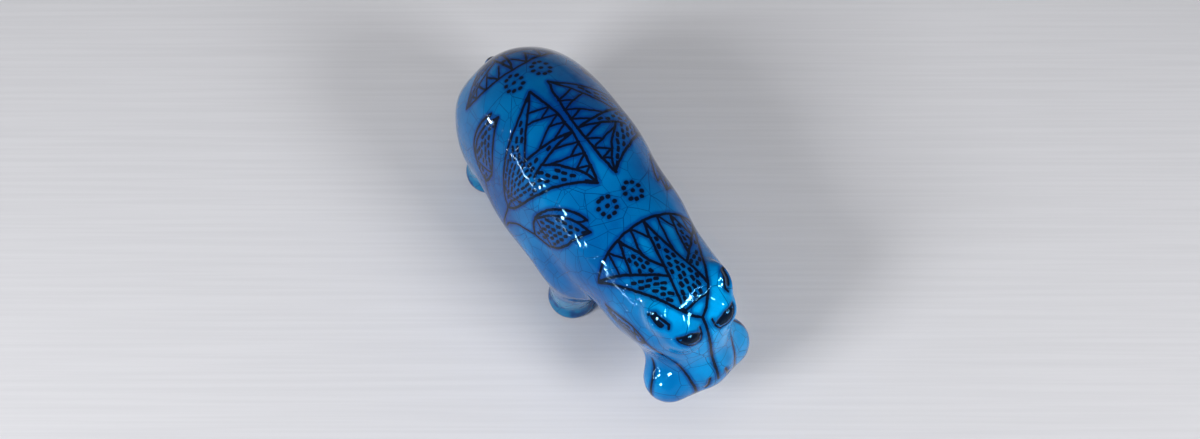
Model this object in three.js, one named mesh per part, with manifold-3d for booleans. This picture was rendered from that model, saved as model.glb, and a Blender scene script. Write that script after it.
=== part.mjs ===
// A standing hippopotamus, moulded in one solid piece of blue-glazed faience.
// Millimetres. +Z is up, the head points to -Y, and the animal's left side is at +X.
// The origin is on the ground, under the middle of the figure.
//
// The body is a smooth union of rounded forms. Places are measured outward from the middle plane,
// forward from the rump and up from the ground. The trunk and the head keep their proportions as
// shares of the figure's width, length and height, and the limbs, eyes, ears and tail have sizes
// of their own. Every form is mirrored on the other side of the middle plane.

import * as THREE from "three";
import { mergeVertices } from "three/addons/utils/BufferGeometryUtils.js";
import Module from "manifold-3d";

// Driving dimensions of the whole figure
const LENGTH = 200; // from the rump to the nose
const WIDTH = 80; // across the belly, to within a millimetre
const HEIGHT = 112; // from the ground to the top of the back

// Legs: each leg narrows from its top to the ankle
const FRONT_LEG_TOP_RADIUS = 15.1;
const HIND_LEG_TOP_RADIUS = 17.9;
const ANKLE_RADIUS = 10.5;
const ANKLE_HEIGHT = 6;
const FRONT_STANCE = 45.6; // between the middles of the two front ankles
const HIND_STANCE = 40.2; // between the middles of the two hind ankles
const FRONT_FEET_AT = 0.544 * LENGTH; // forward of the rump
const HIND_FEET_AT = 0.1155 * LENGTH;

// Feet: low rounded pads, cut flat where they stand
const FOOT_HALF_WIDTH = 11.8;
const FOOT_HALF_LENGTH = 12.2;
const FOOT_HALF_HEIGHT = 9;
const FOOT_LIFT = 3; // from the ground to the widest part of the pad

// Eyes: bulging lids, with a ridge that runs back from each to the ear
const EYE_SPACING = 21.4;
const EYE_HALF_WIDTH = 6.8;
const EYE_HALF_LENGTH = 8;
const EYE_HALF_HEIGHT = 7.4;
const BROW_SPACING = 20;
const BROW_HALF_WIDTH = 6.5;
const BROW_HALF_LENGTH = 12;
const BROW_HALF_HEIGHT = 6.5;
const BROW_PITCH = 25; // degrees, nose down

// Ears: small folds at the sides of the head
const EAR_SPACING = 35.8;
const EAR_HALF_WIDTH = 3.8;
const EAR_HALF_LENGTH = 7;
const EAR_HALF_HEIGHT = 5.4;
const EAR_PITCH = 20; // degrees, nose down

// Tail: a short tapered roll that lies against the rump
const TAIL_TOP = 66;
const TAIL_TIP = 44;
const TAIL_TOP_RADIUS = 5;
const TAIL_TIP_RADIUS = 3.6;
const TAIL_INSET = 3.6; // from the rump's end to the middle of the tail's top
const TAIL_SLOPE = 1; // further inset at the tip

// Slopes of the head's forms
const SKULL_PITCH = 35; // degrees, nose down
const MUZZLE_PITCH = 20; // degrees, nose down

// Widths of the soft hollows where one form runs into the next
const TRUNK_BLEND = 14;
const NECK_BLEND = 16;
const HEAD_BLEND = 10;
const FACE_BLEND = 9;
const MUZZLE_BLEND = 12;
const LOBE_BLEND = 11;
const LEG_BLEND = 10;
const FOOT_BLEND = 5;
const BROW_BLEND = 6;
const EYE_BLEND = 6;
const EAR_BLEND = 5;
const TAIL_BLEND = 3;

// Facets: grid cells across the width and up the height, and a step along the length that is
// shorter where the carving is finer
const CELLS_ACROSS = 22;
const ROW_HEIGHT = HEIGHT / 31;
const ROWS_BELOW_GROUND = 4; // for the part of the feet that is cut away
const TRUNK_STEP = LENGTH / 33;
const LEG_STEP = LENGTH / 50;
const HEAD_STEP = LENGTH / 72;
const HEAD_STARTS = 0.8 * LENGTH;
const GRID_MARGIN = 9; // empty space kept around the figure
const SEATING_STEPS = 3; // how often each vertex is drawn onto the true surface

const GLAZE_BLUE = 0x0a72c8;

const half = WIDTH / 2;

// A place, and a set of radii, given as shares of the figure's width, length and height
function place(out, forward, up) {
  return new THREE.Vector3(out * half, forward * LENGTH, up * HEIGHT);
}

function radii(across, along, upright) {
  return new THREE.Vector3(across * half, along * LENGTH, upright * HEIGHT);
}

// Each form is a function that gives the signed distance of a point, negative inside
function egg(centre, radius, pitch = 0) {
  const angle = THREE.MathUtils.degToRad(pitch);
  const cos = Math.cos(angle);
  const sin = Math.sin(angle);
  return (p) => {
    const across = p.x - centre.x;
    const forward = p.y - centre.y;
    const up = p.z - centre.z;
    const along = forward * cos - up * sin;
    const upright = forward * sin + up * cos;
    const scaled = Math.hypot(across / radius.x, along / radius.y, upright / radius.z);
    const slope = Math.hypot(across / radius.x ** 2, along / radius.y ** 2, upright / radius.z ** 2);
    return (scaled * (scaled - 1)) / Math.max(slope, 1e-9);
  };
}

// Two balls and the cone that wraps them
function taper(start, startRadius, end, endRadius) {
  const axis = end.clone().sub(start);
  const length = axis.length();
  axis.divideScalar(length);
  const sine = (startRadius - endRadius) / length;
  const cosine = Math.sqrt(1 - sine * sine);
  const offset = new THREE.Vector3();
  return (p) => {
    offset.copy(p).sub(start);
    const along = offset.dot(axis);
    const beside = Math.sqrt(Math.max(offset.lengthSq() - along * along, 0));
    const centre = THREE.MathUtils.clamp(along - (beside * sine) / cosine, 0, length);
    const radius = startRadius + ((endRadius - startRadius) * centre) / length;
    return Math.hypot(along - centre, beside) - radius;
  };
}

// A union with a soft hollow between its forms
function blend(width, ...forms) {
  return (p) => {
    let distance = forms[0](p);
    for (const form of forms.slice(1)) {
      const other = form(p);
      const share = THREE.MathUtils.clamp(0.5 + (0.5 * (other - distance)) / width, 0, 1);
      const between = other + (distance - other) * share;
      distance = between - width * share * (1 - share);
    }
    return distance;
  };
}

// The barrel, with a low-slung belly, a rump, shoulders and the muscles over the legs
function trunk() {
  return blend(
    TRUNK_BLEND,
    egg(place(0, 0.383, 0.607), radii(0.911, 0.29, 0.393)),
    egg(place(0, 0.214, 0.567), radii(0.86, 0.2, 0.34)),
    egg(place(0, 0.385, 0.445), radii(0.97, 0.247, 0.255)),
    egg(place(0, 0.543, 0.52), radii(0.662, 0.172, 0.302)),
    egg(place(0.505, 0.509, 0.453), radii(0.353, 0.072, 0.112)),
    egg(place(0.413, 0.171, 0.5), radii(0.392, 0.142, 0.18)),
  );
}

function neck() {
  return taper(place(0, 0.63, 0.633), 0.741 * half, place(0, 0.8, 0.673), 0.652 * half);
}

// The skull, the bridge of the face, the broad muzzle with its two lobes, and the jaw
function head() {
  const face = blend(
    FACE_BLEND,
    egg(place(0, 0.838, 0.687), radii(0.541, 0.11, 0.187), SKULL_PITCH),
    taper(place(0, 0.8725, 0.679), 0.388 * half, place(0, 0.91, 0.482), 0.412 * half),
  );
  const muzzle = taper(place(0, 0.915, 0.42), 0.383 * half, place(0.39, 0.923, 0.378), 0.245 * half);
  const lobes = egg(place(0.423, 0.916, 0.365), radii(0.218, 0.045, 0.09), MUZZLE_PITCH);
  const jaw = taper(place(0, 0.75, 0.518), 0.625 * half, place(0, 0.9, 0.393), 0.35 * half);
  return blend(FACE_BLEND, blend(LOBE_BLEND, blend(MUZZLE_BLEND, face, muzzle), lobes), jaw);
}

// One leg with its foot: top is the middle of its top, and the ankle stands at out, forward
function leg(top, topRadius, out, forward) {
  const ankle = new THREE.Vector3(out, forward, ANKLE_HEIGHT);
  const foot = new THREE.Vector3(out, forward, FOOT_LIFT);
  const pad = new THREE.Vector3(FOOT_HALF_WIDTH, FOOT_HALF_LENGTH, FOOT_HALF_HEIGHT);
  return blend(FOOT_BLEND, taper(top, topRadius, ankle, ANKLE_RADIUS), egg(foot, pad));
}

function frontLeg() {
  return leg(place(0.544, 0.568, 0.425), FRONT_LEG_TOP_RADIUS, FRONT_STANCE / 2, FRONT_FEET_AT);
}

function hindLeg() {
  return leg(place(0.383, 0.169, 0.429), HIND_LEG_TOP_RADIUS, HIND_STANCE / 2, HIND_FEET_AT);
}

function brow() {
  const centre = new THREE.Vector3(BROW_SPACING / 2, 0.87 * LENGTH, 0.813 * HEIGHT);
  const size = new THREE.Vector3(BROW_HALF_WIDTH, BROW_HALF_LENGTH, BROW_HALF_HEIGHT);
  return egg(centre, size, BROW_PITCH);
}

function eye() {
  const centre = new THREE.Vector3(EYE_SPACING / 2, 0.9075 * LENGTH, 0.777 * HEIGHT);
  const size = new THREE.Vector3(EYE_HALF_WIDTH, EYE_HALF_LENGTH, EYE_HALF_HEIGHT);
  return egg(centre, size);
}

function ear() {
  const centre = new THREE.Vector3(EAR_SPACING / 2, 0.8575 * LENGTH, 0.839 * HEIGHT);
  const size = new THREE.Vector3(EAR_HALF_WIDTH, EAR_HALF_LENGTH, EAR_HALF_HEIGHT);
  return egg(centre, size, EAR_PITCH);
}

function tail() {
  const top = new THREE.Vector3(0, TAIL_INSET, TAIL_TOP);
  const tip = new THREE.Vector3(0, TAIL_INSET + TAIL_SLOPE, TAIL_TIP);
  return taper(top, TAIL_TOP_RADIUS, tip, TAIL_TIP_RADIUS);
}

// The whole figure, from its biggest forms to its smallest
function figure() {
  const body = blend(HEAD_BLEND, blend(NECK_BLEND, trunk(), neck()), head());
  const standing = blend(LEG_BLEND, body, frontLeg(), hindLeg());
  const browed = blend(BROW_BLEND, standing, brow());
  const seeing = blend(EYE_BLEND, browed, eye());
  const hearing = blend(EAR_BLEND, seeing, ear());
  const whole = blend(TAIL_BLEND, hearing, tail());
  const mirrored = new THREE.Vector3();
  return (p) => whole(mirrored.set(Math.abs(p.x), p.y, p.z));
}

// Grid lines from one end to the other, the step depending on where they are
function gridLines(from, to, stepAt) {
  const lines = [from];
  while (lines.at(-1) < to) lines.push(lines.at(-1) + stepAt(lines.at(-1)));
  return lines;
}

function stepAlong(forward) {
  if (forward > HEAD_STARTS) return HEAD_STEP;
  const feet = [FRONT_FEET_AT, HIND_FEET_AT];
  const nearFoot = feet.some((at) => Math.abs(forward - at) < 1.3 * FOOT_HALF_LENGTH);
  return nearFoot ? LEG_STEP : TRUNK_STEP;
}

// The surface of a form as quads: one vertex in each grid cell that the surface crosses
function skin(form, xs, ys, zs) {
  const size = [xs.length, ys.length, zs.length];
  const index = (i, j, k) => (i * size[1] + j) * size[2] + k;
  const point = new THREE.Vector3();
  const value = new Float64Array(size[0] * size[1] * size[2]);
  for (let i = 0; i < size[0]; i++)
    for (let j = 0; j < size[1]; j++)
      for (let k = 0; k < size[2]; k++) value[index(i, j, k)] = form(point.set(xs[i], ys[j], zs[k]));

  const vertexOf = new Map();
  const positions = [];
  const lines = [xs, ys, zs];

  // The vertex of a cell, at the mean of the places where the cell's edges cross the surface
  function cellVertex(cell) {
    const key = index(...cell);
    if (vertexOf.has(key)) return vertexOf.get(key);
    const sum = [0, 0, 0];
    let crossings = 0;
    for (let corner = 0; corner < 8; corner++) {
      const start = cell.map((c, axis) => c + ((corner >> axis) & 1));
      for (let axis = 0; axis < 3; axis++) {
        if ((corner >> axis) & 1) continue;
        const end = start.map((c, other) => c + (other === axis ? 1 : 0));
        const before = value[index(...start)];
        const after = value[index(...end)];
        if (before < 0 === after < 0) continue;
        const share = before / (before - after);
        for (let d = 0; d < 3; d++) sum[d] += lines[d][start[d]];
        sum[axis] += share * (lines[axis][end[axis]] - lines[axis][start[axis]]);
        crossings++;
      }
    }
    const vertex = seated(form, new THREE.Vector3(...sum.map((s) => s / crossings)));
    vertexOf.set(key, positions.length / 3);
    positions.push(vertex.x, vertex.y, vertex.z);
    return vertexOf.get(key);
  }

  const triangles = [];
  for (let axis = 0; axis < 3; axis++) {
    const [u, v] = [(axis + 1) % 3, (axis + 2) % 3];
    const at = [0, 0, 0];
    for (at[axis] = 0; at[axis] < size[axis] - 1; at[axis]++)
      for (at[u] = 1; at[u] < size[u] - 1; at[u]++)
        for (at[v] = 1; at[v] < size[v] - 1; at[v]++) {
          const next = at.map((c, d) => c + (d === axis ? 1 : 0));
          const inside = value[index(...at)] < 0;
          if (inside === value[index(...next)] < 0) continue;
          const corner = (du, dv) => cellVertex(at.map((c, d) => c - (d === u ? du : 0) - (d === v ? dv : 0)));
          const quad = [corner(1, 1), corner(0, 1), corner(0, 0), corner(1, 0)];
          if (!inside) quad.reverse();
          triangles.push(quad[0], quad[1], quad[2], quad[0], quad[2], quad[3]);
        }
  }
  return { positions, triangles };
}

// A point drawn onto the true surface along the distance's slope
function seated(form, point) {
  const reach = 0.01;
  for (let step = 0; step < SEATING_STEPS; step++) {
    const slope = new THREE.Vector3();
    for (const axis of ["x", "y", "z"]) {
      const ahead = point.clone();
      ahead[axis] += reach;
      const behind = point.clone();
      behind[axis] -= reach;
      slope[axis] = (form(ahead) - form(behind)) / (2 * reach);
    }
    point.addScaledVector(slope, -form(point) / slope.lengthSq());
  }
  return point;
}

const wasm = await Module();
wasm.setup();

function solidFrom(positions, triangles) {
  return new wasm.Manifold(
    new wasm.Mesh({
      numProp: 3,
      vertProperties: new Float32Array(positions),
      triVerts: new Uint32Array(triangles),
    }),
  );
}

function solidFromGeometry(geometry) {
  geometry.deleteAttribute("normal");
  geometry.deleteAttribute("uv");
  const merged = mergeVertices(geometry);
  return solidFrom(merged.attributes.position.array, merged.index.array);
}

function geometryFrom(solid) {
  const mesh = solid.getMesh();
  const geometry = new THREE.BufferGeometry();
  geometry.setAttribute("position", new THREE.BufferAttribute(mesh.vertProperties, 3));
  geometry.setIndex(new THREE.BufferAttribute(mesh.triVerts, 1));
  return geometry;
}

// The figure's solid: its skin, turned to face -Y and cut flat under the feet
function hippopotamus() {
  const reach = half + GRID_MARGIN;
  const across = gridLines(-reach, reach, () => (2 * reach) / CELLS_ACROSS);
  const along = gridLines(-GRID_MARGIN, LENGTH + GRID_MARGIN, stepAlong);
  const up = gridLines(-ROWS_BELOW_GROUND * ROW_HEIGHT, HEIGHT + GRID_MARGIN, () => ROW_HEIGHT);
  const { positions, triangles } = skin(figure(), across, along, up);
  for (let i = 0; i < positions.length; i += 3) {
    positions[i] = -positions[i];
    positions[i + 1] = -positions[i + 1];
  }
  const ground = new THREE.BoxGeometry(4 * LENGTH, 4 * LENGTH, 2 * HEIGHT).translate(0, 0, -HEIGHT);
  const solid = solidFrom(positions, triangles).subtract(solidFromGeometry(ground));
  const geometry = geometryFrom(solid);
  geometry.computeBoundingBox();
  const middle = geometry.boundingBox.getCenter(new THREE.Vector3());
  geometry.translate(-middle.x, -middle.y, 0);
  geometry.computeVertexNormals();
  return geometry;
}

const glazedFaience = new THREE.MeshStandardMaterial({
  color: GLAZE_BLUE,
  roughness: 0.15,
  metalness: 0,
});

const part = new THREE.Group();
const body = new THREE.Mesh(hippopotamus(), glazedFaience);
body.name = "hippopotamus";
part.add(body);

export default part;
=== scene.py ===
"""A standing hippopotamus figurine in blue-glazed faience, painted with lotus flowers, buds and rosettes.

The figure is worked out in its own millimetres, in a frame of three: right of the animal's middle plane,
forward from the rump, and up from the ground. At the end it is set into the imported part's box, in metres.
"""
import math

import bpy
import numpy as np
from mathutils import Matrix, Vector, kdtree


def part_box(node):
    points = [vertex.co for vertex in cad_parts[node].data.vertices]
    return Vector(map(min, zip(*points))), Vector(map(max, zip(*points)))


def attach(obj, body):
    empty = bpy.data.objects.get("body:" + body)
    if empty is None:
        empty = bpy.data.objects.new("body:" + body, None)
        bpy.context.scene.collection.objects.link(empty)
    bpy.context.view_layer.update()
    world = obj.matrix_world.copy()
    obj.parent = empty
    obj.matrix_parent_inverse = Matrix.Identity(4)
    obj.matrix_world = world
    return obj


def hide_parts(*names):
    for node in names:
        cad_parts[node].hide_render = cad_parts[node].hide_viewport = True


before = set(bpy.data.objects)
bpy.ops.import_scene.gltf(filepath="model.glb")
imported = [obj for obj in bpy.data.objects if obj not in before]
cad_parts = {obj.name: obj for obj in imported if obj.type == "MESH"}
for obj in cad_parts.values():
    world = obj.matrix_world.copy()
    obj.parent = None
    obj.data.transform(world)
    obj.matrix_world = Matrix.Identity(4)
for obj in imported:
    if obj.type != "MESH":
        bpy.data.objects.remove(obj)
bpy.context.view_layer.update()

# Driving sizes, in the figure's millimetres
MM = 0.001
LOW, HIGH = (np.array(corner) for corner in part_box("hippopotamus"))
SKIN_TO_SIZE = np.array((1.0098, 1.0067, 0.999))  # the blended skin against the sizes it is worked out from
WIDTH, LENGTH, HEIGHT = (HIGH - LOW) / MM / SKIN_TO_SIZE
HALF = WIDTH / 2

# How softly the forms run together
TRUNK_BLEND = 14
NECK_BLEND = 16
HEAD_BLEND = 10
FACE_BLEND = 9
MUZZLE_BLEND = 12
LOBE_BLEND = 11
LEG_BLEND = 10
FOOT_BLEND = 5
BROW_BLEND = 6
EYE_BLEND = 6
EAR_BLEND = 5
TAIL_BLEND = 3
GROUND_ROUNDING = 1.2

# How far the front ends of the head's forms are pitched down, in degrees
SKULL_PITCH = 35
LOBE_PITCH = 20
BROW_PITCH = 25
EAR_PITCH = 20

# Legs and feet
FRONT_FEET_AT = 0.544 * LENGTH
FRONT_STANCE = 45.6
FRONT_LEG_TOP_RADIUS = 15.1
HIND_FEET_AT = 0.1155 * LENGTH
HIND_STANCE = 40.2
HIND_LEG_TOP_RADIUS = 17.9
ANKLE_UP = 6
ANKLE_RADIUS = 10.5
FOOT_UP = 3
FOOT_RADII = (11.8, 12.2, 9)

# The right brow, eye and ear, and the tail
BROW = (10, 0.87 * LENGTH, 0.813 * HEIGHT)
BROW_RADII = (6.5, 12, 6.5)
EYE = (10.7, 0.9075 * LENGTH, 0.777 * HEIGHT)
EYE_RADII = (6.8, 8, 7.4)
EAR = (17.9, 0.8575 * LENGTH, 0.839 * HEIGHT)
EAR_RADII = (3.8, 7, 5.4)
TAIL_TOP = (0, 3.6, 66)
TAIL_TOP_RADIUS = 5
TAIL_TIP = (0, 4.6, 44)
TAIL_TIP_RADIUS = 3.6

# The skin's mesh
CELL = 0.95
GRID_MARGIN = 3 * CELL
BELOW_GROUND = 2 * CELL
FIRST_SEATING_STEPS = 3
SEATING_STEPS = 2
RELAXING_ROUNDS = 3
PROBE = 0.05
TINY = 1e-9

# The sleeve that the paintings are laid out on
SLEEVE_RADIUS = 44.0
SLEEVE_UP = 0.518 * HEIGHT
SLEEVE_REAR = 0.225 * LENGTH
SLEEVE_FRONT = 0.8 * LENGTH
FAR_OUTSIDE = 85.0
CASTING_STEPS = 45
CASTING_CARE = 0.8

# The brush: half widths, steps and reaches
LINE = 0.6
FINE_LINE = 0.48
SHADING_LINE = 0.28
DOT = 0.98
DOT_HALF_LENGTH = 0.15
DASH_CLEARANCE = 0.05
DASH_DRIFT = 0.18
DASH_TURN = 0.1
DASH_LENGTHS = (0.75, 1.2)  # shortest and longest, as shares of the usual length
DOT_DRIFT = 0.2
CROSSING_CLEARANCE = 1.5
STROKE_STEP = 2.4
FACE_STROKE_STEP = 1.6
FACE_SEATING_STEPS = 4
SHAKE = 0.22
STROKE_SLOTS = 4
EMPTY_SLOT = (9.0, 9.0, 0.0, 0.1)
STROKE_REACH = 2.2
DENSITY_REACH = 1.6
LEFT_BUDS_LOWER = 6
LOW_HEART = 0.4  # a flower whose heart is lower has no closed body
ROSETTE_DOTS = 9
ROSETTE_REACH = (4.8, 4.0)  # along the body and around it

random = np.random.default_rng(7)


# The figure's form

def share(side, forward, up):
    """A place or size from shares of the half width, the length and the height."""
    return np.array((side * HALF, forward * LENGTH, up * HEIGHT))


def egg(p, centre, radii, pitch=0.0):
    """How far the points p are outside an egg-shaped swelling whose front end is pitched down."""
    across, forward, up = (axis - middle for axis, middle in zip(p, centre))
    turn = math.radians(pitch)
    along = forward * math.cos(turn) - up * math.sin(turn)
    upright = forward * math.sin(turn) + up * math.cos(turn)
    pairs = list(zip((across, along, upright), radii))
    near = np.sqrt(sum((offset / radius) ** 2 for offset, radius in pairs))
    steep = np.sqrt(sum((offset / radius ** 2) ** 2 for offset, radius in pairs))
    return near * (near - 1) / np.maximum(steep, TINY)


def taper(p, start, start_radius, end, end_radius):
    """How far the points p are outside a round limb that runs between two balls."""
    way = np.asarray(end) - np.asarray(start)
    length = np.linalg.norm(way)
    offset = [axis - first for axis, first in zip(p, start)]
    along = sum(o * w for o, w in zip(offset, way / length))
    beside = np.sqrt(np.maximum(sum(o * o for o in offset) - along ** 2, 0))
    sine = (start_radius - end_radius) / length
    centre = np.clip(along - beside * sine / math.sqrt(1 - sine ** 2), 0, length)
    radius = start_radius + (end_radius - start_radius) * centre / length
    return np.hypot(along - centre, beside) - radius


def blend(first, second, width):
    """Two forms run together over a width."""
    part = np.clip(0.5 + 0.5 * (second - first) / width, 0, 1)
    return second + (first - second) * part - width * part * (1 - part)


def trunk(p):
    """The barrel, with the rump, belly, chest, shoulders and haunches run into it."""
    barrel = egg(p, share(0, 0.383, 0.607), share(0.911, 0.29, 0.393))
    rump = egg(p, share(0, 0.214, 0.567), share(0.86, 0.2, 0.34))
    belly = egg(p, share(0, 0.385, 0.445), share(0.97, 0.247, 0.255))
    chest = egg(p, share(0, 0.543, 0.52), share(0.662, 0.172, 0.302))
    shoulder = egg(p, share(0.505, 0.509, 0.453), share(0.353, 0.072, 0.112))
    haunch = egg(p, share(0.413, 0.171, 0.5), share(0.392, 0.142, 0.18))
    form = barrel
    for swelling in (rump, belly, chest, shoulder, haunch):
        form = blend(form, swelling, TRUNK_BLEND)
    return form


def head(p):
    """The skull, the bridge of the nose, the broad muzzle with its two lobes, and the jaw."""
    skull = egg(p, share(0, 0.838, 0.687), share(0.541, 0.11, 0.187), pitch=SKULL_PITCH)
    bridge = taper(p, share(0, 0.8725, 0.679), 0.388 * HALF, share(0, 0.91, 0.482), 0.412 * HALF)
    muzzle = taper(p, share(0, 0.915, 0.42), 0.383 * HALF, share(0.39, 0.923, 0.378), 0.245 * HALF)
    lobe = egg(p, share(0.423, 0.916, 0.365), share(0.218, 0.045, 0.09), pitch=LOBE_PITCH)
    jaw = taper(p, share(0, 0.75, 0.518), 0.625 * HALF, share(0, 0.9, 0.393), 0.35 * HALF)
    face = blend(skull, bridge, FACE_BLEND)
    face = blend(face, muzzle, MUZZLE_BLEND)
    face = blend(face, lobe, LOBE_BLEND)
    return blend(face, jaw, FACE_BLEND)


def leg(p, top, top_radius, feet_at, stance):
    """One of a pair of legs, from inside the trunk down to its foot."""
    ankle = (stance / 2, feet_at, ANKLE_UP)
    foot = (stance / 2, feet_at, FOOT_UP)
    return blend(taper(p, top, top_radius, ankle, ANKLE_RADIUS), egg(p, foot, FOOT_RADII), FOOT_BLEND)


def features(p, form):
    """The brows, eyes, ears and tail, set on the form."""
    form = blend(form, egg(p, BROW, BROW_RADII, pitch=BROW_PITCH), BROW_BLEND)
    form = blend(form, egg(p, EYE, EYE_RADII), EYE_BLEND)
    form = blend(form, egg(p, EAR, EAR_RADII, pitch=EAR_PITCH), EAR_BLEND)
    return blend(form, taper(p, TAIL_TOP, TAIL_TOP_RADIUS, TAIL_TIP, TAIL_TIP_RADIUS), TAIL_BLEND)


def distance_to_line(p, line):
    """How far the points p are from a line of straight stretches."""
    nearest = None
    for start, end in zip(line, line[1:]):
        way = np.subtract(end, start)
        offset = [axis - first for axis, first in zip(p, start)]
        along = np.clip(sum(o * w for o, w in zip(offset, way)) / (way @ way), 0, 1)
        far = np.sqrt(sum((o - w * along) ** 2 for o, w in zip(offset, way)))
        nearest = far if nearest is None else np.minimum(nearest, far)
    return nearest


# Lines on the head, through places near the skin of its right side

LID = ((15.2, 184.9, 92.5), (12.5, 186.2, 93.2), (9.5, 186.7, 93.2), (6, 187.4, 91), (4.9, 187.7, 89.8))
EYE_RIM = ((15.3, 185.1, 92), (14.2, 187.2, 91), (12.1, 189, 89.4), (8.3, 189.7, 87.4), (5.4, 189.3, 86.8),
           (3.8, 187.9, 89), (3.6, 185.6, 92))
NOSTRIL = ((4.4, 199.2, 57), (5.3, 199.9, 53), (6.6, 199.8, 49.3))
MOUTH = ((25.5, 166, 45), (27.5, 176, 38), (24, 188, 34.5), (15, 195, 35), (7, 197, 37.5), (0, 197.5, 38.5))
LOBE_LINE = ((20.8, 175.9, 55), (22.6, 179.6, 53.6), (25.6, 182.4, 51.7), (28, 184.2, 48.6), (29, 185.5, 45),
             (28.5, 186.5, 40.5))
EAR_HOLLOW = ((19.9, 171.5, 98.6), (19.6, 175.2, 97.6), (18.6, 177.2, 96.2))
EAR_EDGE = ((20.9, 170.6, 98.4), (19, 171.6, 99.6), (17.3, 174.8, 98.4), (15.2, 178.1, 95.8),
            (15.8, 179.3, 94.5))
NOSE_LINE = ((0.3, 184, 94), (0.9, 189.5, 86.6), (0.9, 193.4, 74), (0.5, 198, 61), (0.4, 200.4, 54))
CHEEK_LINE = ((24.1, 173.8, 77.7), (21, 180.2, 74.2), (17.9, 184, 69.8), (14.5, 188.5, 64), (12.3, 193, 58.7),
              (11.3, 196.5, 53), (10.9, 198.2, 46.9), (11.5, 198, 42))

# Each crease: its line, width and depth
CREASES = (
    (LID, 0.9, 0.55),
    (EYE_RIM, 0.8, 0.35),
    (NOSTRIL, 1.0, 0.4),
    (MOUTH, 1.1, 0.8),
    (EAR_HOLLOW, 1.7, 1.5),
)
HEAD_FROM = 0.8 * LENGTH

# The strokes that fill the eye: each one's height, its start and end across the face, and its half width
EYE_STROKES = ((90.9, 13.4, 6.4, 1.15), (92.1, 13.2, 7.6, 1.0), (89.8, 12, 6.8, 0.95))


def creases(p):
    """The depth of the fine hollows: lids, eye rims, nostrils, mouth and ears."""
    close = p[1] > HEAD_FROM
    near = tuple(axis[close] for axis in p)
    depth = np.zeros(p[0].shape)
    for line, width, deep in CREASES:
        depth[close] += deep * np.exp(-(distance_to_line(near, line) / width) ** 2)
    return depth


def figure(right, forward, up):
    """How far points are outside the finished figure; negative inside it."""
    p = (np.abs(right), forward, up)
    neck = taper(p, share(0, 0.63, 0.633), 0.741 * HALF, share(0, 0.8, 0.673), 0.652 * HALF)
    form = blend(blend(trunk(p), neck, NECK_BLEND), head(p), HEAD_BLEND)
    front_leg = leg(p, share(0.544, 0.568, 0.425), FRONT_LEG_TOP_RADIUS, FRONT_FEET_AT, FRONT_STANCE)
    hind_leg = leg(p, share(0.383, 0.169, 0.429), HIND_LEG_TOP_RADIUS, HIND_FEET_AT, HIND_STANCE)
    form = blend(form, np.minimum(front_leg, hind_leg), LEG_BLEND)
    form = features(p, form) + creases(p)
    return -blend(-form, up, GROUND_ROUNDING)


def slope(places):
    """The outward direction at places on the skin, and how fast the distance grows there."""
    columns = []
    for axis in range(3):
        step = np.zeros(3)
        step[axis] = PROBE
        columns.append((figure(*(places + step).T) - figure(*(places - step).T)) / (2 * PROBE))
    gradient = np.column_stack(columns)
    steepness = np.maximum(np.linalg.norm(gradient, axis=1, keepdims=True), TINY)
    return gradient / steepness, steepness


def seated(places, steps=SEATING_STEPS):
    """Places near the skin, moved onto it."""
    for _ in range(steps):
        outward, steepness = slope(places)
        places = places - outward * figure(*places.T)[:, None] / steepness
    return places


def net_faces(inside, number):
    """Four-sided faces, one round each grid edge that crosses the skin."""
    faces = []
    for axis in range(3):
        ahead = np.roll(inside, -1, axis)
        edges = np.argwhere(inside != ahead)
        other = [a for a in range(3) if a != axis]
        steps = np.zeros((4, 3), int)
        steps[:, other] = ((-1, -1), (0, -1), (0, 0), (-1, 0))
        around = np.column_stack([number[tuple((edges + step).T)] for step in steps])
        turned = inside[tuple(edges.T)] != (axis == 1)
        around[~turned] = around[~turned, ::-1]
        faces.append(around)
    return np.concatenate(faces)


def relaxed(vertices, faces):
    """Vertices moved to the middle of their neighbours, along the skin."""
    total = np.zeros_like(vertices)
    count = np.zeros(len(vertices))
    for start, end in ((0, 1), (1, 2), (2, 3), (3, 0)):
        for one, other in ((start, end), (end, start)):
            for axis in range(3):
                total[:, axis] += np.bincount(faces[:, one], vertices[faces[:, other], axis], len(vertices))
            count += np.bincount(faces[:, one], minlength=len(vertices))
    return seated(total / count[:, None], 1)


def skin():
    """The skin's vertices and faces, in the figure's millimetres."""
    low = np.array((-HALF - GRID_MARGIN, -GRID_MARGIN, -BELOW_GROUND))
    high = np.array((HALF, LENGTH, HEIGHT)) + GRID_MARGIN
    axes = [np.arange(start, end, CELL) for start, end in zip(low, high)]
    inside = figure(*np.meshgrid(*axes, indexing="ij")) < 0
    cells = inside[1:, 1:, 1:].shape
    corners = [inside[a:a + cells[0], b:b + cells[1], c:c + cells[2]] for a, b, c in np.ndindex(2, 2, 2)]
    filled = sum(corner.astype(np.int8) for corner in corners)
    crossed = (filled > 0) & (filled < len(corners))
    number = np.full(cells, -1)
    number[crossed] = np.arange(crossed.sum())
    vertices = seated((np.argwhere(crossed) + 0.5) * CELL + low, FIRST_SEATING_STEPS)
    faces = net_faces(inside, number)
    for _ in range(RELAXING_ROUNDS):
        vertices = relaxed(vertices, faces)
    return seated(vertices), faces


# Places on the skin

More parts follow.
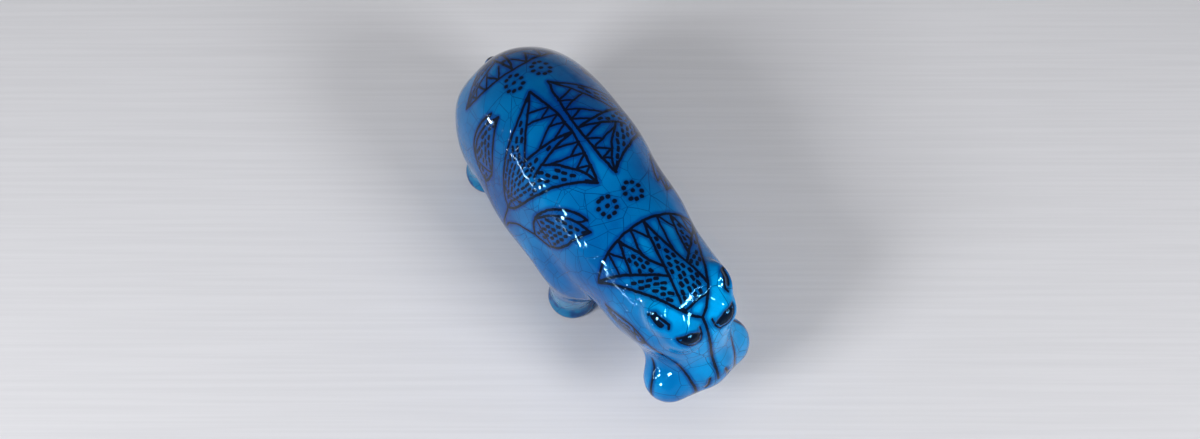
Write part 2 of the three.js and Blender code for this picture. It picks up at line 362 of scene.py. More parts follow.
def on_sleeve(along, around):
    """Places on the skin from a sleeve round the body: along it from the rump, around it from the ridge.

    Past its two ends the sleeve closes in a dome.
    """
    turn = around / SLEEVE_RADIUS
    foot = np.clip(along, SLEEVE_REAR, SLEEVE_FRONT)
    tilt = (along - foot) / SLEEVE_RADIUS
    ray = np.column_stack((np.sin(turn) * np.cos(tilt), np.sin(tilt), np.cos(turn) * np.cos(tilt)))
    start = np.column_stack((np.zeros_like(foot), foot, np.full_like(foot, SLEEVE_UP)))
    far = np.full(len(foot), FAR_OUTSIDE)
    for _ in range(CASTING_STEPS):
        far -= CASTING_CARE * figure(*(start + ray * far[:, None]).T)
    return start + ray * far[:, None]


def spaced(points, step):
    """A line with its points no further apart than a step."""
    points = np.asarray(points, float)
    parts = [points[:1]]
    for start, end in zip(points, points[1:]):
        count = max(1, math.ceil(np.linalg.norm(end - start) / step))
        shares = np.linspace(0, 1, count + 1)[1:, None]
        parts.append(start + (end - start) * shares)
    return np.concatenate(parts)


def curve(*points, count=10):
    """A smooth curve that starts and ends at the outer points and is drawn towards the ones between."""
    share_along = np.linspace(0, 1, count)[:, None]
    layer = [np.asarray(point, float) for point in points]
    while len(layer) > 1:
        layer = [a + (b - a) * share_along for a, b in zip(layer, layer[1:])]
    return layer[0]


# Drawing in the flat

class Sketch:
    """Lines and short marks in a flat frame of millimetres, x across and y up."""

    def __init__(self):
        self.lines = []
        self.marks = []

    def line(self, points, half_width=LINE):
        """A brush line through points."""
        self.lines.append((np.asarray(points, float), half_width))

    def mark(self, centre, way, half_length, half_width):
        """A short, straight mark round its centre."""
        self.marks.append((centre - way * half_length, centre + way * half_length, half_width))

    def meeting(self, start, way, limit):
        """How far a straight line runs from a start before it meets one that is already drawn."""
        found = [limit]
        for points, _ in self.lines:
            gap = points[:-1] - start
            edge = np.diff(points, axis=0)
            cross = way[0] * edge[:, 1] - way[1] * edge[:, 0]
            cross[np.abs(cross) < TINY] = TINY
            ahead = (gap[:, 0] * edge[:, 1] - gap[:, 1] * edge[:, 0]) / cross
            beside = (gap[:, 0] * way[1] - gap[:, 1] * way[0]) / cross
            found.extend(ahead[(ahead > CROSSING_CLEARANCE) & (beside >= 0) & (beside <= 1)])
        return min(found)

    def side(self, tip, lean, limit, half_width=LINE):
        """One side of a leaf, from its tip down at a lean until it meets a line. Its end is returned."""
        way = np.array((math.sin(math.radians(lean)), -math.cos(math.radians(lean))))
        end = tip + way * self.meeting(tip, way, limit)
        self.line(curve(tip, (tip + end) / 2, end, count=6), half_width)
        return end

    def clearance(self, points):
        """How far each point is from the lines already drawn."""
        return np.min([distance_to_line(points.T, line) - half for line, half in self.lines], axis=0)

    def dashes(self, region, focus, row, gap, half_length, half_width):
        """Rows of dashes that fill a region and point at a focus, every other row shifted by half a gap."""
        region = np.asarray(region, float)
        taken = np.array([(start + end) / 2 for start, end, _ in self.marks] or [(99.0, 99.0)])
        offsets = region - focus
        heading = math.atan2(*offsets.mean(axis=0)[::-1])
        for number, radius in enumerate(np.arange(row, np.linalg.norm(offsets, axis=1).max(), row)):
            reach = math.ceil(2 * radius / gap)
            steps = np.arange(-reach, reach + 1) + 0.5 * (number % 2)
            angles = heading + steps * gap / radius
            angles = angles[np.abs(angles - heading) < math.pi / 2]
            ways = np.column_stack((np.cos(angles), np.sin(angles)))
            centres = focus + ways * radius + random.normal(0, DASH_DRIFT, ways.shape)
            apart = np.linalg.norm(centres[:, None] - taken, axis=2).min(axis=1)
            free = inside_outline(centres, region) & (apart > gap)
            free &= self.clearance(centres) > half_width + DASH_CLEARANCE
            for centre, way in zip(centres[free], ways[free]):
                bend = random.normal(0, DASH_TURN)
                turned = np.array((way[0] - way[1] * bend, way[1] + way[0] * bend))
                self.mark(centre, turned, half_length * random.uniform(*DASH_LENGTHS), half_width)


def inside_outline(points, outline):
    """Which points lie inside a closed outline."""
    inside = np.zeros(len(points), bool)
    for (x0, y0), (x1, y1) in zip(outline, np.roll(outline, -1, axis=0)):
        straddles = (y0 > points[:, 1]) != (y1 > points[:, 1])
        run = x0 + (points[:, 1] - y0) * (x1 - x0) / (y1 - y0 if y1 != y0 else TINY)
        inside ^= straddles & (points[:, 0] < run)
    return inside


def far_edge(places, height, spread, bulge):
    """Places on a flower's far edge, which runs from its left corner at -1 to its right one at 1."""
    return np.column_stack((spread * places, height * (1 + bulge * (1 - places ** 2))))


def flower_sides(height, spread):
    """A flower's left and right sides, from its foot up to its corners."""
    rise = np.linspace(0, 1, 13)
    flare = 0.65 * rise ** 0.65 + 0.35 * rise ** 3.5
    left = np.column_stack((-spread * flare, height * rise))
    return left, left * (-1, 1)


def place_on(side, up):
    """The place on a flower's side at a height."""
    return np.array((np.interp(up, side[:, 1], side[:, 0]), up))


def lotus(height, spread, bulge, heart, sepals, petal=(-24, 32), depth=99, joins=(0.97, 0.74),
          bows=(1, 2.4), gap=2.9, stem=()):
    """An open lotus that stands on (0, 0).

    bulge is how far its far edge rises past the outer tips, heart is the height at which the middle sepal
    ends, and sepals names the tips, of seven along the far edge, that are sepals filled with dashes. petal
    gives the leans of a petal's two sides and depth their greatest length. joins says how far down the middle
    sepal the outer sepals' inner sides end, bows how far these are bowed, and gap how far dashes stand apart.
    """
    sketch = Sketch()
    left, right = flower_sides(height, spread)
    for line in (left, right, far_edge(np.linspace(-1, 1, 25), height, spread, bulge)):
        sketch.line(line)
    tips = far_edge(np.linspace(-0.54, 0.72, 7), height, spread, bulge)
    # The middle sepal comes first, then the outer ones, whose inner sides end on it
    middle = tips[3]
    middle_ends = [sketch.side(middle, lean, middle[1] - height * heart) for lean in (-12, 10)]
    joints = [middle + (end - middle) * part for end, part in zip(middle_ends, joins)]
    for corner, joint, bow in zip((left[-1], right[-1]), joints, bows):
        sketch.line(curve(corner, (corner + joint) / 2 + (0, 2 * bow), joint, count=8))
    small = []
    for number in (1, 5, 0, 2, 4, 6):
        if number in sepals:
            small.append((tips[number], [sketch.side(tips[number], lean, height) for lean in (-16, 21)]))
        else:
            for lean in petal:
                sketch.side(tips[number], lean, depth, half_width=FINE_LINE)
    heart_line = list(middle_ends)
    if heart < LOW_HEART:
        crossing = place_on(right, 1.25 * middle_ends[0][1])
        sketch.line(curve(middle_ends[0], (middle_ends[0] + crossing) / 2 + (0, 1), crossing, count=6))
        heart_line.insert(1, crossing)
    fill_sepal(sketch, middle, heart_line, gap)
    for tip, ends in small:
        fill_sepal(sketch, tip, ends, gap)
    for side, joint, end in zip((left, right), joints, middle_ends):
        fill_outer(sketch, side, joint, end, gap)
    if heart > LOW_HEART:
        fill_body(sketch, left, right, [joints[1], middle_ends[1], middle_ends[0], joints[0]])
    if len(stem):
        sketch.line(curve((0, 0), *stem, count=14), FINE_LINE)
    return sketch


def fill_sepal(sketch, tip, ends, gap):
    """Dashes between the two sides of a sepal, and its darkened tip."""
    sketch.dashes([tip, *ends], tip, row=1.25 * gap, gap=gap, half_length=0.22 * gap, half_width=0.28 * gap)
    foot = np.mean(ends, axis=0)
    way = (foot - tip) / np.linalg.norm(foot - tip)
    sketch.mark(tip + way * 2.0, way, 1.4, 0.5)


def fill_outer(sketch, outline, inner_end, heart_end, gap):
    """Dashes in an outer sepal, between the flower's outline and the sepal's inner side."""
    tip = outline[-1]
    lowest = min(inner_end[1], heart_end[1])
    border = outline[outline[:, 1] > 0.55 * lowest]
    sketch.dashes([*border, inner_end, heart_end], tip, row=1.3 * gap, gap=gap, half_length=0.26 * gap,
                  half_width=0.28 * gap)
    way = inner_end - tip
    way = way / np.linalg.norm(way) + (border[-2] - tip) / np.linalg.norm(border[-2] - tip)
    way /= np.linalg.norm(way)
    sketch.mark(tip + way * 3.0, way, 1.9, 0.55)


def fill_body(sketch, left, right, crown):
    """Dashes in a flower's closed body, between its sides and below its crown, with two fine lines across."""
    count = 8
    body = np.concatenate((left[:count][::-1], right[:count], crown))
    sketch.dashes(body, np.zeros(2), row=3.7, gap=2.6, half_length=1.0, half_width=0.58)
    height = left[-1, 1]
    for start_share, end_share in ((0.16, 0.3), (0.24, 0.14)):
        start = place_on(left, start_share * height)
        end = place_on(right, end_share * height)
        sketch.line(curve(start, (start + end) / 2 - (0, 2), end, count=6), SHADING_LINE)


def bud(height, stem=()):
    """A closed lotus bud that stands on (0, 0), with one sepal standing off on its left."""
    sketch = Sketch()
    size = height / 40
    tip = np.array((0, height))
    sepal_tip = np.array((-5.5, 38.8)) * size
    outer = curve((0, 0), np.array((-17, 9)) * size, np.array((-13, 31)) * size, sepal_tip, count=14)
    right = curve((0, 0), np.array((13, 12)) * size, np.array((3.5, 26)) * size, tip, count=14)
    inner = curve(outer[3], np.array((-12, 27)) * size, tip, count=12)
    for line in (outer, right, inner):
        sketch.line(line)
    sketch.line(curve(sepal_tip, np.array((-4.5, 34)) * size, inner[8], count=4), FINE_LINE)
    low = np.array((-6.3, 10.2)) * size
    sketch.line(curve(outer[3], (low + right[4]) / 2 - (0, 2.2 * size), right[4], count=7), FINE_LINE)
    region = np.concatenate((inner, right[::-1]))
    sketch.dashes(region, tip, row=3.7, gap=3.1, half_length=0.75, half_width=0.8)
    sketch.mark(tip - (0.2, 2.6), np.array((0.05, 1)), 1.6, 0.6)
    if len(stem):
        sketch.line(curve((0, 0), *stem, count=14), FINE_LINE)
    return sketch


def rosette():
    """A ring of dots round one dot, narrowed around the body, where the sleeve spreads it."""
    sketch = Sketch()
    up = np.array((0, 1.0))
    sketch.mark(np.zeros(2), up, DOT_HALF_LENGTH, DOT)
    for number in range(ROSETTE_DOTS):
        angle = 2 * math.pi * (number + 0.3) / ROSETTE_DOTS
        centre = np.array((math.cos(angle), math.sin(angle))) * ROSETTE_REACH
        centre += random.normal(0, DOT_DRIFT, 2)
        sketch.mark(centre, up, DOT_HALF_LENGTH, DOT)
    return sketch


# Painting on the skin

painting = []  # each stroke: its two ends on the skin and its half width


def stroke_along(places, half_width):
    """Strokes from each place to the next."""
    painting.extend((start, end, half_width) for start, end in zip(places, places[1:]))


def shaken(points):
    """A line with the small waver of a hand."""
    drift = random.normal(0, SHAKE, (len(points) + 2, 2))
    return points + (drift[:-2] + drift[1:-1] + drift[2:]) / 3


def lay(sketch, along, around, heading, mirror=False):
    """Paint a sketch on the skin.

    Its foot goes to a place on the sleeve, and its up is turned from the ridge by the heading, in degrees.
    """
    lines = [(shaken(spaced(points, STROKE_STEP)), half) for points, half in sketch.lines]
    marks = [(np.array((start, end)), half) for start, end, half in sketch.marks]
    pieces = lines + marks
    flat = np.concatenate([points for points, _ in pieces])
    turn = math.radians(heading)
    x, y = flat.T
    sleeve_along = along + x * math.cos(turn) - y * math.sin(turn)
    sleeve_around = around - x * math.sin(turn) - y * math.cos(turn)
    places = on_sleeve(sleeve_along, -sleeve_around if mirror else sleeve_around)
    ends = np.cumsum([len(points) for points, _ in pieces])[:-1]
    for part, (_, half) in zip(np.split(places, ends), pieces):
        stroke_along(part, half)


def line_on_face(places, half_width, both=True):
    """A line through places near the skin, on the animal's right and, if both, mirrored on its left."""
    for side in (1, -1) if both else (1,):
        line = spaced(np.array(places) * (side, 1, 1), FACE_STROKE_STEP)
        stroke_along(seated(line, FACE_SEATING_STEPS), half_width)


def paint_body():
    """The flank, rump and head flowers, the buds and the rosettes."""
    for mirror in (False, True):
        lower = LEFT_BUDS_LOWER if mirror else 0
        flank_flower = lotus(height=51, spread=28.5, bulge=0.066, heart=0.6, sepals=(3,),
                             stem=((1, -8), (-3, -16), (1, -30)))
        lay(flank_flower, along=77.3, around=55.6, heading=0, mirror=mirror)
        rear_bud = bud(height=39, stem=((0, -8), (6, -14), (7, -30)))
        lay(rear_bud, along=57, around=60 + lower, heading=14, mirror=mirror)
        front_bud = bud(height=41, stem=((-3, -8), (-9, -12), (-4, -26)))
        lay(front_bud, along=97.2, around=53.4 + lower, heading=-36, mirror=mirror)
        lay(bud(height=32), along=178.3, around=38.9, heading=104, mirror=mirror)
        lay(rosette(), along=39, around=7.2, heading=0, mirror=mirror)
        lay(rosette(), along=117.2, around=6.9, heading=0, mirror=mirror)
    head_flower = lotus(height=46, spread=35.5, bulge=0.163, heart=0.1, sepals=(1, 3, 5), petal=(-12, 33),
                        joins=(0.63, 0.68), bows=(3, 1.2), gap=2.85)
    lay(head_flower, along=185.3, around=0.4, heading=90)
    rump_flower = lotus(height=37, spread=39, bulge=0.22, heart=0.72, sepals=(3,), petal=(-26, 28),
                        depth=9.5, joins=(0.9, 0.9))
    lay(rump_flower, along=-14, around=0, heading=-90)


def paint_face():
    """The line down the nose, the cheek and muzzle lines, nostrils, mouth, eyes and ears."""
    line_on_face(NOSE_LINE, LINE, both=False)
    for line, half_width in ((CHEEK_LINE, LINE), (NOSTRIL, LINE), (LOBE_LINE, LINE), (MOUTH, 0.5),
                             (EYE_RIM, 0.42), (LID, LINE)):
        line_on_face(line, half_width)
    for height, start, end, half_width in EYE_STROKES:
        middle = (start + end) / 2
        line = ((start, 187.4, height + 0.7), (middle, 188, height), (end, 188.2, height - 0.8))
        line_on_face(line, half_width)
    line_on_face(EAR_HOLLOW, 1.15)
    line_on_face(EAR_EDGE, LINE)


def pairs_within(places, reaches, centres):
    """Which places have which centres within their reach, as two rows of numbers."""
    tree = kdtree.KDTree(len(centres))
    for number, centre in enumerate(centres):
        tree.insert(centre, number)
    tree.balance()
    pairs = []
    for number, (place, reach) in enumerate(zip(places, reaches)):
        pairs.extend((number, index) for _, index, _ in tree.find_range(place, reach))
    return np.array(pairs).T


def stroke_slots(vertices, faces):
    """For each face, the strokes nearest to it, as slots; and how densely each vertex is painted.

    A slot holds, at each corner, how far that corner is across and along the stroke, with the stroke's own
    half length and half width, so the shader can draw its edge more finely than the mesh.
    """
    start, end, half_width = (np.array(column) for column in zip(*painting))
    middle = (start + end) / 2
    way = end - start
    length = np.maximum(np.linalg.norm(way, axis=1), TINY)
    way /= length[:, None]
    across = np.cross(slope(middle)[0], way)
    centres = vertices[faces].mean(axis=1)
    stroke, face = pairs_within(middle, length / 2 + half_width + STROKE_REACH, centres)
    offset = centres[face] - middle[stroke]
    beyond = np.maximum(np.abs((offset * way[stroke]).sum(1)) - length[stroke] / 2, 0)
    far = np.hypot(beyond, (offset * across[stroke]).sum(1)) - half_width[stroke]
    order = np.lexsort((far, face))
    stroke, face, far = stroke[order], face[order], far[order]
    first = np.searchsorted(face, face)
    rank = np.arange(len(face)) - first
    slots = np.tile(np.array(EMPTY_SLOT, np.float32), (STROKE_SLOTS, len(faces), 4, 1))
    for slot in range(STROKE_SLOTS):
        chosen = rank == slot
        s, f = stroke[chosen], face[chosen]
        corner = vertices[faces[f]] - middle[s][:, None]
        slots[slot, f, :, 0] = (corner * across[s][:, None]).sum(2)
        slots[slot, f, :, 1] = (corner * way[s][:, None]).sum(2)
        slots[slot, f, :, 2] = (length[s] / 2)[:, None]
        slots[slot, f, :, 3] = half_width[s][:, None]
    heavy = np.bincount(face, np.exp(-(np.maximum(far, 0) / DENSITY_REACH) ** 2), len(faces))
    density = np.bincount(faces.ravel(), np.repeat(heavy, 4), len(vertices)) / np.bincount(faces.ravel())
    return slots, density


# The figure as one mesh

def figure_mesh():
    """The painted skin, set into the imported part's box, with its strokes as attributes."""
    vertices, faces = skin()
    paint_body()
    paint_face()
    slots, density = stroke_slots(vertices, faces)
    outward, _ = slope(vertices)
    row = np.column_stack((-vertices[:, 0], LENGTH / 2 - vertices[:, 1], vertices[:, 2]))
    reach = row.max(axis=0) - row.min(axis=0)
    placed = LOW + (row - row.min(axis=0)) * (HIGH - LOW) / reach
    mesh = bpy.data.meshes.new("painted_hippopotamus")
    mesh.from_pydata(placed.tolist(), [], faces.tolist())
    for number, slot in enumerate(slots):
        layer = mesh.attributes.new(f"stroke_{number}", "FLOAT_COLOR", "CORNER")
        layer.data.foreach_set("color", slot.ravel())
    layer = mesh.attributes.new("painted", "FLOAT", "POINT")
    layer.data.foreach_set("value", density.astype(np.float32))
    mesh.shade_smooth()
    mesh.normals_split_custom_set_from_vertices(outward * (-1, -1, 1))
    return mesh


# Shader nodes

def add(tree, kind, inputs=(), **settings):
    """A node with its settings, and with values or links in its inputs."""
    node = tree.nodes.new(kind)
    for name, value in settings.items():
        setattr(node, name, value)
    for name, value in dict(inputs).items():
        if isinstance(value, bpy.types.NodeSocket):
            tree.links.new(value, node.inputs[name])
        else:
            node.inputs[name].default_value = value
    return node


def calc(tree, operation, *values):
    """A sum on numbers."""
    return add(tree, "ShaderNodeMath", dict(enumerate(values)), operation=operation).outputs[0]


def vector(tree, operation, *values, scale=1.0):
    """A sum on vectors."""
    node = add(tree, "ShaderNodeVectorMath", dict(enumerate(values)), operation=operation)
    if operation == "SCALE":
        node.inputs["Scale"].default_value = scale
    return node.outputs["Value" if operation == "DOT_PRODUCT" else "Vector"]


def noise(tree, where, scale, detail=2.0, roughness=0.5):
    """Smooth noise of so many waves a metre."""
    inputs = {"Vector": where, "Scale": scale, "Detail": detail, "Roughness": roughness}
    return add(tree, "ShaderNodeTexNoise", inputs)


def eased(tree, value, start, end, low=0.0, high=1.0):
    """A value between start and end, eased over to the range from low to high."""
    inputs = {"Value": value, "From Min": start, "From Max": end, "To Min": low, "To Max": high}
    return add(tree, "ShaderNodeMapRange", inputs, interpolation_type="SMOOTHSTEP").outputs["Result"]


def mixed(tree, share_of_second, first, second):
    """Two colours, mixed."""
    inputs = {0: share_of_second, 6: first, 7: second}
    return add(tree, "ShaderNodeMix", inputs, data_type="RGBA").outputs[2]


def linear(red, green, blue):
    """A screen colour from 0 to 255 as a linear one."""
    channels = [c / 255 for c in (red, green, blue)]
    return (*((c / 12.92 if c <= 0.04045 else ((c + 0.055) / 1.055) ** 2.4) for c in channels), 1.0)


def empty_material(name):
    """A material whose node tree is still empty."""
    material = bpy.data.materials.new(name)
    material.use_nodes = True
    material.node_tree.nodes.clear()
    return material


# The glaze

LIGHT_GLAZE = linear(0, 168, 242)
DEEP_GLAZE = linear(0, 76, 148)
# painted shade: the colour that darkens the rear, where less light falls
REAR_PAINTED_SHADE = linear(0, 50, 104)
SHOULDER_GLAZE = linear(0, 62, 132)
# the legs' greener tone: partly the glaze's own and partly painted reflection
LEG_GLAZE_AND_REFLECTION = linear(0, 142, 186)
# pooled glaze with painted shade and a painted contact shadow on the feet
POOLED_GLAZE_AND_SHADE = linear(0, 52, 118)
MOTTLING = linear(0, 106, 176)
PAINTED_GROUND = linear(0, 46, 126)
BLED_INK = linear(6, 34, 112)
CRACK = linear(0, 40, 92)
INK = linear(10, 14, 26)
GLAZE_ROUGHNESS = 0.045
GLAZE_IOR = 1.36
GLAZE_SHEEN = (0.12, 0.55, 1, 1)
SHOULDERS_AT = -0.019
BROAD_WAVER = 0.9
FINE_WAVER = 0.4


def stroke_distance(tree, number, shift_across, shift_along):
    """How far the surface is outside one stroke, in millimetres."""
    layer = add(tree, "ShaderNodeAttribute", attribute_name=f"stroke_{number}")
    parts = add(tree, "ShaderNodeSeparateColor", {0: layer.outputs["Color"]}).outputs
    across = calc(tree, "ADD", parts[0], shift_across)
    along = calc(tree, "ABSOLUTE", calc(tree, "ADD", parts[1], shift_along))
    beyond = calc(tree, "MAXIMUM", calc(tree, "SUBTRACT", along, parts[2]), 0.0)
    square = calc(tree, "MULTIPLY_ADD", across, across, calc(tree, "MULTIPLY", beyond, beyond))
    return calc(tree, "SUBTRACT", calc(tree, "SQRT", square), layer.outputs["Alpha"])


def ink_distance(tree, where):
    """How far the surface is outside the nearest stroke, whose edge wavers as a brush's does."""
    broad = add(tree, "ShaderNodeSeparateColor", {0: noise(tree, where, 190).outputs["Color"]}).outputs
    fine = add(tree, "ShaderNodeSeparateColor", {0: noise(tree, where, 900).outputs["Color"]}).outputs
    shifts = []
    for channel in (0, 1):
        wave = calc(tree, "MULTIPLY_ADD", broad[channel], BROAD_WAVER, -BROAD_WAVER / 2)
        small_wave = calc(tree, "MULTIPLY_ADD", fine[channel], FINE_WAVER, -FINE_WAVER / 2)
        shifts.append(calc(tree, "ADD", wave, small_wave))
    nearest = stroke_distance(tree, 0, *shifts)
    for number in range(1, STROKE_SLOTS):
        nearest = calc(tree, "MINIMUM", nearest, stroke_distance(tree, number, *shifts))
    return nearest


def crackle(tree, where, cells, width, start, end):
    """A net of fine cracks, of so many cells a metre, that fades in and out across the body.

    The cracks are walls between the cells. Where a wall lies nearly along the surface, its line is narrowed.
    """
    drift = noise(tree, where, cells * 0.4, detail=0).outputs["Color"]
    moved = vector(tree, "MULTIPLY_ADD", drift, (0.5 / cells,) * 3, where)
    inputs = {"Vector": moved, "Scale": cells}
    nearest = add(tree, "ShaderNodeTexVoronoi", inputs, feature="F1").outputs["Position"]
    second = add(tree, "ShaderNodeTexVoronoi", inputs, feature="F2").outputs["Position"]
    across = vector(tree, "NORMALIZE", vector(tree, "SUBTRACT", second, nearest))
    wall = vector(tree, "SCALE", vector(tree, "ADD", nearest, second), scale=0.5)
    far = vector(tree, "DOT_PRODUCT", vector(tree, "SUBTRACT", wall, moved), across)
    facing = vector(tree, "DOT_PRODUCT", across, add(tree, "ShaderNodeNewGeometry").outputs["Normal"])
    square = calc(tree, "MULTIPLY", facing, facing)
    steep = calc(tree, "SQRT", calc(tree, "MULTIPLY_ADD", square, -1.0, 1.001))
    line = eased(tree, calc(tree, "DIVIDE", far, steep), 0.0, width, 1.0, 0.0)
    patches = eased(tree, noise(tree, where, 22, detail=1).outputs["Fac"], start, end)
    return calc(tree, "MULTIPLY", line, patches)


def foot_shade(tree, where, up):
    """Dark bands on a foot's sides, broken by lighter patches, and a dark line at the ground: pooled glaze
    with painted shade of the ankle and a painted contact shadow.
    """
    patches = noise(tree, where, 130, detail=1).outputs["Fac"]
    edge = calc(tree, "MULTIPLY_ADD", noise(tree, where, 60, detail=0).outputs["Fac"], 0.005, up)
    broken = eased(tree, patches, 0.42, 0.56, 0.9, 0.25)
    band = calc(tree, "MULTIPLY", eased(tree, edge, 0.0155, 0.014), broken)
    return calc(tree, "MAXIMUM", band, eased(tree, edge, 0.0052, 0.004))


def glaze_ground(tree, where):
    """The bare glaze: mottled, deeper on the shoulders, darker at the rear as painted shade, with greener
    legs and dark foot bands.
    """
    place = add(tree, "ShaderNodeSeparateXYZ", {0: where}).outputs
    # painted shade: the glaze is darkened towards the rear
    rear_shade = eased(tree, place[1], 0.7 * LOW[1], 0.85 * HIGH[1])
    from_shoulders = calc(tree, "ABSOLUTE", calc(tree, "SUBTRACT", place[1], SHOULDERS_AT))
    broad = eased(tree, noise(tree, where, 17, detail=3).outputs["Fac"], 0.3, 0.7)
    fine = noise(tree, where, 210, detail=4, roughness=0.6).outputs["Fac"]
    colour = mixed(tree, broad, DEEP_GLAZE, LIGHT_GLAZE)
    for part, tone in (
        (calc(tree, "MULTIPLY", rear_shade, 0.62), REAR_PAINTED_SHADE),
        (eased(tree, from_shoulders, 0.027, 0.004, 0.0, 0.5), SHOULDER_GLAZE),
        # greener legs: partly glaze tone and partly painted reflection
        (eased(tree, place[2], 0.034, 0.02, 0.0, 0.75), LEG_GLAZE_AND_REFLECTION),
        # pooled glaze with painted shade of the ankles and a painted contact shadow
        (foot_shade(tree, where, place[2]), POOLED_GLAZE_AND_SHADE),
        (eased(tree, fine, 0.3, 0.75, 0.0, 0.35), MOTTLING),
    ):
        colour = mixed(tree, part, colour, tone)
    return colour


def painted_over(tree, colour, outside, cracks):
    """The bare glaze with its darker tone round the paintings, the ink that bled, the cracks and the ink."""
    density = add(tree, "ShaderNodeAttribute", attribute_name="painted").outputs["Fac"]
    for part, strength, tone in (
        (eased(tree, density, 0.3, 3.2), 0.58, PAINTED_GROUND),
        (eased(tree, outside, 0.0, 1.7, 1.0, 0.0), 0.42, BLED_INK),
        (cracks, 0.85, CRACK),
        (eased(tree, outside, -0.04, 0.22, 1.0, 0.0), 0.97, INK),
    ):
        colour = mixed(tree, calc(tree, "MULTIPLY", part, strength), colour, tone)
    return colour


def glaze_relief(tree, where, cracks):
    """The bump of a rippled, faintly grained glaze whose cracks are sunk."""
    ripple = noise(tree, where, 85, detail=2).outputs["Fac"]
    grain = noise(tree, where, 1400, detail=2).outputs["Fac"]
    relief = calc(tree, "MULTIPLY_ADD", grain, 0.012, ripple)
    relief = calc(tree, "MULTIPLY_ADD", cracks, -0.12, relief)
    return add(tree, "ShaderNodeBump", {"Strength": 0.5, "Distance": 0.0006, "Height": relief}).outputs[0]


def glaze():
    """Blue faience glaze: mottled from turquoise to cobalt, crackled, and painted with dark strokes."""
    material = empty_material("glazed_faience")
    tree = material.node_tree
    where = add(tree, "ShaderNodeTexCoord").outputs["Object"]
    large = crackle(tree, where, cells=45, width=0.0003, start=0.2, end=0.4)
    small = crackle(tree, where, cells=110, width=0.00026, start=0.42, end=0.54)
    cracks = calc(tree, "MAXIMUM", large, calc(tree, "MULTIPLY", small, 0.85))
    colour = painted_over(tree, glaze_ground(tree, where), ink_distance(tree, where), cracks)
    relief = glaze_relief(tree, where, cracks)
    inputs = {"Base Color": colour, "Normal": relief, "Roughness": GLAZE_ROUGHNESS, "IOR": GLAZE_IOR,
              "Specular Tint": GLAZE_SHEEN}
    shader = add(tree, "ShaderNodeBsdfPrincipled", inputs)
    add(tree, "ShaderNodeOutputMaterial", {"Surface": shader.outputs[0]})
    return material


# The stage

FLOOR_HALF = 2.5
FLOOR_GRAIN = math.radians(33.9)
DARK_FLOOR = linear(214, 214, 218)
LIGHT_FLOOR = linear(219, 219, 223)
ROOM_TINT = (0.93, 0.95, 1, 1)
IMAGE_WIDTH = 1200
SENSOR_WIDTH = 36
PIXELS_PER_MM = 2.045  # at the aim
CAMERA_DISTANCE = 0.7
CAMERA_AZIMUTH = math.radians(-33.9)
CAMERA_ELEVATION = math.radians(64.2)
AIM = Vector((-0.00095, -0.00215, 0.056))

# Each lamp that lights the figure: its name, azimuth and elevation in degrees, distance, side and power
LAMPS = (
    ("key_right", 21, 34, 1.1, 0.36, 6.2),
    ("key_left", -87, 36, 1.1, 0.36, 7.9),
    ("overhead", 0, 85, 1.3, 1.4, 4.6),
)

# Each small lamp that is seen mirrored: its name, azimuth and elevation in degrees, width, length and power
GLINT_DISTANCE = 0.8
GLINTS = (
    ("glint_right", 24, 57, 0.05, 0.06, 3.4),
    ("glint_front", 33, 43, 0.09, 0.08, 6.5),
    ("glint_left", -100, 5, 0.035, 0.045, 1.2),
    ("glint_left_high", -97, 12.5, 0.03, 0.02, 0.9),
    ("glint_cheek", -72, 6, 0.08, 0.09, 7.0),
    ("glint_rear", -112, -2.5, 0.3, 0.005, 0.6),
    ("glint_rump", -135, -1, 0.03, 0.02, 0.8),
)


def floor_material():
    """Pale, even, faintly streaked grey."""
    material = empty_material("pale_floor")
    tree = material.node_tree
    where = add(tree, "ShaderNodeTexCoord").outputs["Object"]
    turned = add(tree, "ShaderNodeMapping", {"Vector": where, "Rotation": (0, 0, FLOOR_GRAIN)}).outputs[0]
    streaks = add(tree, "ShaderNodeMapping", {"Vector": turned, "Scale": (7, 420, 1)}).outputs[0]
    tone = noise(tree, streaks, 1.0, detail=3).outputs["Fac"]
    colour = mixed(tree, eased(tree, tone, 0.3, 0.7), DARK_FLOOR, LIGHT_FLOOR)
    inputs = {"Base Color": colour, "Roughness": 0.9, "Specular IOR Level": 0.1}
    shader = add(tree, "ShaderNodeBsdfPrincipled", inputs)
    add(tree, "ShaderNodeOutputMaterial", {"Surface": shader.outputs[0]})
    return material


def direction(azimuth, elevation):
    """The direction from the middle of the scene towards a camera or light; azimuth 0 looks along +Y."""
    level = math.cos(elevation)
    return Vector((math.sin(azimuth) * level, -math.cos(azimuth) * level, math.sin(elevation)))


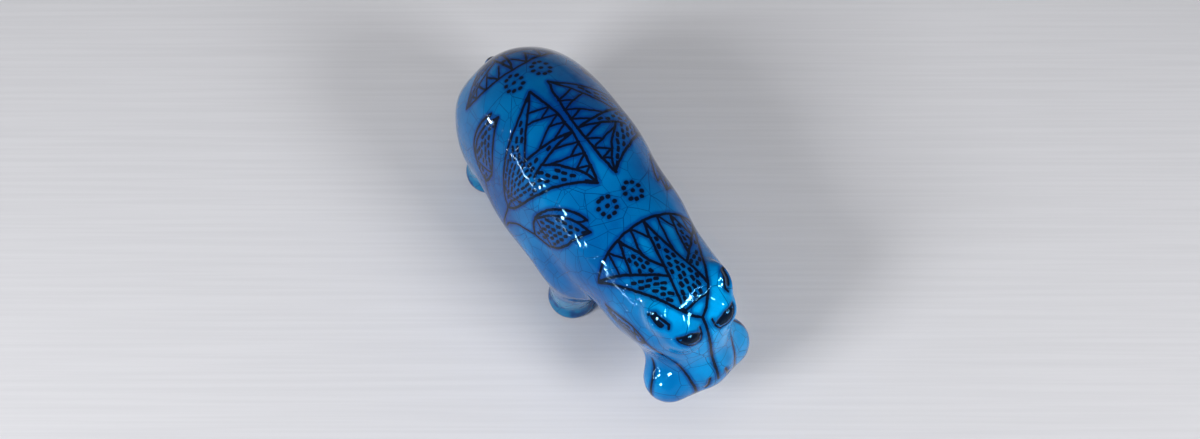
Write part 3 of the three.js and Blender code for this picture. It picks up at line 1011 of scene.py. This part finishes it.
def stage_camera():
    """The camera, at the photo's viewing angle and scale."""
    data = bpy.data.cameras.new("camera")
    camera = bpy.data.objects.new("camera", data)
    bpy.context.collection.objects.link(camera)
    towards = direction(CAMERA_AZIMUTH, CAMERA_ELEVATION)
    camera.location = AIM + towards * CAMERA_DISTANCE
    camera.rotation_euler = towards.to_track_quat("Z", "Y").to_euler()
    data.sensor_width = SENSOR_WIDTH
    focal_pixels = PIXELS_PER_MM * CAMERA_DISTANCE / MM
    data.lens = focal_pixels * SENSOR_WIDTH / IMAGE_WIDTH
    data.clip_start = 0.01
    bpy.context.scene.camera = camera


def soft_light(name, azimuth, elevation, distance, width, length, power, glint=False):
    """A rectangular lamp that faces the figure. A glint is only seen mirrored, and other lamps never are."""
    data = bpy.data.lights.new(name, "AREA")
    data.shape = "RECTANGLE"
    data.size = width
    data.size_y = length
    data.energy = power
    lamp = bpy.data.objects.new(name, data)
    lamp.visible_glossy = glint
    lamp.visible_diffuse = not glint
    bpy.context.collection.objects.link(lamp)
    towards = direction(math.radians(azimuth), math.radians(elevation))
    lamp.location = AIM + towards * distance
    lamp.rotation_euler = towards.to_track_quat("Z", "Y").to_euler()


def room():
    """A pale room whose ceiling is darker than its walls."""
    world = bpy.data.worlds.new("room")
    world.use_nodes = True
    tree = world.node_tree
    background = tree.nodes["Background"]
    way = add(tree, "ShaderNodeTexCoord").outputs["Generated"]
    up = add(tree, "ShaderNodeSeparateXYZ", {0: way}).outputs[2]
    tree.links.new(eased(tree, up, 0.1, 0.8, 0.28, 0.05), background.inputs["Strength"])
    background.inputs["Color"].default_value = ROOM_TINT
    return world


def stage():
    """The floor, the room and the lamps."""
    corners = [(x * FLOOR_HALF, y * FLOOR_HALF, 0) for x, y in ((-1, -1), (1, -1), (1, 1), (-1, 1))]
    mesh = bpy.data.meshes.new("floor")
    mesh.from_pydata(corners, [], [(0, 1, 2, 3)])
    mesh.materials.append(floor_material())
    floor = bpy.data.objects.new("floor", mesh)
    bpy.context.collection.objects.link(floor)
    scene = bpy.context.scene
    scene.view_settings.view_transform = "Standard"
    scene.world = room()
    for name, azimuth, elevation, distance, side, power in LAMPS:
        soft_light(name, azimuth, elevation, distance, side, side, power)
    for name, azimuth, elevation, width, length, power in GLINTS:
        soft_light(name, azimuth, elevation, GLINT_DISTANCE, width, length, power, glint=True)


hippo = bpy.data.objects.new("painted_hippopotamus", figure_mesh())
bpy.context.collection.objects.link(hippo)
hippo.data.materials.append(glaze())
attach(hippo, "root")
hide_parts("hippopotamus")
stage_camera()
stage()
